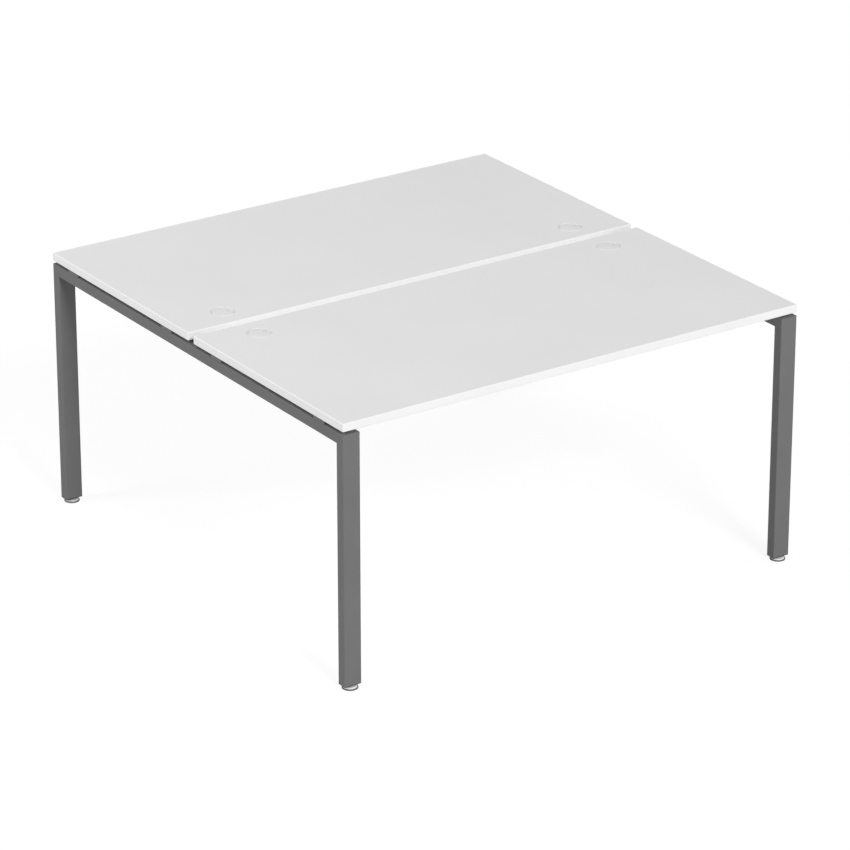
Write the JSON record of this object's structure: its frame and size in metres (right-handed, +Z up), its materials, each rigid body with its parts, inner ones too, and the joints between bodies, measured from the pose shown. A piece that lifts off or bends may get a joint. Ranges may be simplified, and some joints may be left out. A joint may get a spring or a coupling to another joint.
{
  "type": "office workstation",
  "caption": "Two-person bench desk: white desktops face to face with a cable slot between them, on dark grey tube end frames with levelling feet and cable outlets.",
  "frame": {"origin": "on the floor under the middle of the desk", "axes": "+X along the desktops' long edges, +Y from the front desktop to the rear one, +Z up"},
  "size_m": [1.4, 1.417, 0.7206],
  "materials": {
    "white_melamine": "matt melamine on chipboard",
    "white_edging": "satin",
    "grey_powder_coat": "fine satin powder coat",
    "zinc_steel": "zinc plated",
    "grey_plastic": "matt",
    "black_plastic": "matt",
    "white_plastic": "satin"
  },
  "bodies": {
    "desk": {"front_desktop": "white_melamine", "front_outer_edge_strip": "white_edging", "front_slot_edge_strip": "white_edging", "front_left_edge_strip": "white_edging", "front_right_edge_strip": "white_edging", "front_beam_screws": "zinc_steel", "rear_desktop": "white_melamine", "rear_outer_edge_strip": "white_edging", "rear_slot_edge_strip": "white_edging", "rear_left_edge_strip": "white_edging", "rear_right_edge_strip": "white_edging", "rear_beam_screws": "zinc_steel", "front_outer_beam": "grey_powder_coat", "front_slot_beam": "grey_powder_coat", "rear_slot_beam": "grey_powder_coat", "rear_outer_beam": "grey_powder_coat", "left_rail": "grey_powder_coat", "left_rail_spacers": "grey_powder_coat", "left_end_plates": "grey_powder_coat", "left_rail_screws": "zinc_steel", "left_rivet_nuts": "zinc_steel", "left_beam_bolts": "zinc_steel", "right_rail": "grey_powder_coat", "right_rail_spacers": "grey_powder_coat", "right_end_plates": "grey_powder_coat", "right_rail_screws": "zinc_steel", "right_rivet_nuts": "zinc_steel", "right_beam_bolts": "zinc_steel", "front_left_leg": "grey_powder_coat", "front_left_leg_plug": "black_plastic", "front_left_outlet_sleeve": "white_plastic", "front_right_leg": "grey_powder_coat", "front_right_leg_plug": "black_plastic", "front_right_outlet_sleeve": "white_plastic", "rear_left_leg": "grey_powder_coat", "rear_left_leg_plug": "black_plastic", "rear_left_outlet_sleeve": "white_plastic", "rear_right_leg": "grey_powder_coat", "rear_right_leg_plug": "black_plastic", "rear_right_outlet_sleeve": "white_plastic"},
    "front_left_foot": {"front_left_foot_cover": "white_plastic", "front_left_foot_pad": "grey_plastic"},
    "front_left_stud": {"front_left_foot_stud": "zinc_steel"},
    "front_left_cap": {"front_left_outlet_cap": "white_plastic"},
    "front_left_shutter": {"front_left_outlet_shutter": "white_plastic"},
    "front_right_foot": {"front_right_foot_cover": "white_plastic", "front_right_foot_pad": "grey_plastic"},
    "front_right_stud": {"front_right_foot_stud": "zinc_steel"},
    "front_right_cap": {"front_right_outlet_cap": "white_plastic"},
    "front_right_shutter": {"front_right_outlet_shutter": "white_plastic"},
    "rear_left_foot": {"rear_left_foot_cover": "white_plastic", "rear_left_foot_pad": "grey_plastic"},
    "rear_left_stud": {"rear_left_foot_stud": "zinc_steel"},
    "rear_left_cap": {"rear_left_outlet_cap": "white_plastic"},
    "rear_left_shutter": {"rear_left_outlet_shutter": "white_plastic"},
    "rear_right_foot": {"rear_right_foot_cover": "white_plastic", "rear_right_foot_pad": "grey_plastic"},
    "rear_right_stud": {"rear_right_foot_stud": "zinc_steel"},
    "rear_right_cap": {"rear_right_outlet_cap": "white_plastic"},
    "rear_right_shutter": {"rear_right_outlet_shutter": "white_plastic"}
  },
  "joints": [
    {"name": "front_left_foot_level", "type": "slide", "parent": "desk", "child": "front_left_foot", "axis": [0, 0, 1], "range_m": [-0.012, 0.0015]},
    {"name": "front_left_stud_turn", "type": "hinge", "parent": "front_left_foot", "child": "front_left_stud", "pos_m": [-0.675, -0.6875, 0.02], "axis": [0, 0, 1], "range_deg": [-3457, 433]},
    {"name": "front_left_cap_turn", "type": "hinge", "parent": "desk", "child": "front_left_cap", "pos_m": [-0.55, -0.0875, 0.72], "axis": [0, 0, 1], "range_deg": [-180, 180]},
    {"name": "front_left_shutter_turn", "type": "hinge", "parent": "front_left_cap", "child": "front_left_shutter", "pos_m": [-0.55, -0.0875, 0.72], "axis": [0, 0, 1], "range_deg": [-180, 180]},
    {"name": "front_right_foot_level", "type": "slide", "parent": "desk", "child": "front_right_foot", "axis": [0, 0, 1], "range_m": [-0.012, 0.0015]},
    {"name": "front_right_stud_turn", "type": "hinge", "parent": "front_right_foot", "child": "front_right_stud", "pos_m": [0.675, -0.6875, 0.02], "axis": [0, 0, 1], "range_deg": [-3457, 433]},
    {"name": "front_right_cap_turn", "type": "hinge", "parent": "desk", "child": "front_right_cap", "pos_m": [0.55, -0.0875, 0.72], "axis": [0, 0, 1], "range_deg": [-180, 180]},
    {"name": "front_right_shutter_turn", "type": "hinge", "parent": "front_right_cap", "child": "front_right_shutter", "pos_m": [0.55, -0.0875, 0.72], "axis": [0, 0, 1], "range_deg": [-180, 180]},
    {"name": "rear_left_foot_level", "type": "slide", "parent": "desk", "child": "rear_left_foot", "axis": [0, 0, 1], "range_m": [-0.012, 0.0015]},
    {"name": "rear_left_stud_turn", "type": "hinge", "parent": "rear_left_foot", "child": "rear_left_stud", "pos_m": [-0.675, 0.6875, 0.02], "axis": [0, 0, 1], "range_deg": [-3457, 433]},
    {"name": "rear_left_cap_turn", "type": "hinge", "parent": "desk", "child": "rear_left_cap", "pos_m": [-0.55, 0.0875, 0.72], "axis": [0, 0, 1], "range_deg": [-180, 180]},
    {"name": "rear_left_shutter_turn", "type": "hinge", "parent": "rear_left_cap", "child": "rear_left_shutter", "pos_m": [-0.55, 0.0875, 0.72], "axis": [0, 0, 1], "range_deg": [-180, 180]},
    {"name": "rear_right_foot_level", "type": "slide", "parent": "desk", "child": "rear_right_foot", "axis": [0, 0, 1], "range_m": [-0.012, 0.0015]},
    {"name": "rear_right_stud_turn", "type": "hinge", "parent": "rear_right_foot", "child": "rear_right_stud", "pos_m": [0.675, 0.6875, 0.02], "axis": [0, 0, 1], "range_deg": [-3457, 433]},
    {"name": "rear_right_cap_turn", "type": "hinge", "parent": "desk", "child": "rear_right_cap", "pos_m": [0.55, 0.0875, 0.72], "axis": [0, 0, 1], "range_deg": [-180, 180]},
    {"name": "rear_right_shutter_turn", "type": "hinge", "parent": "rear_right_cap", "child": "rear_right_shutter", "pos_m": [0.55, 0.0875, 0.72], "axis": [0, 0, 1], "range_deg": [-180, 180]}
  ],
  "couplings": [
    {"joint": "front_left_stud_turn", "follows": "front_left_foot_level", "rad_per_m": 5026.5},
    {"joint": "front_right_stud_turn", "follows": "front_right_foot_level", "rad_per_m": 5026.5},
    {"joint": "rear_left_stud_turn", "follows": "rear_left_foot_level", "rad_per_m": 5026.5},
    {"joint": "rear_right_stud_turn", "follows": "rear_right_foot_level", "rad_per_m": 5026.5}
  ]
}
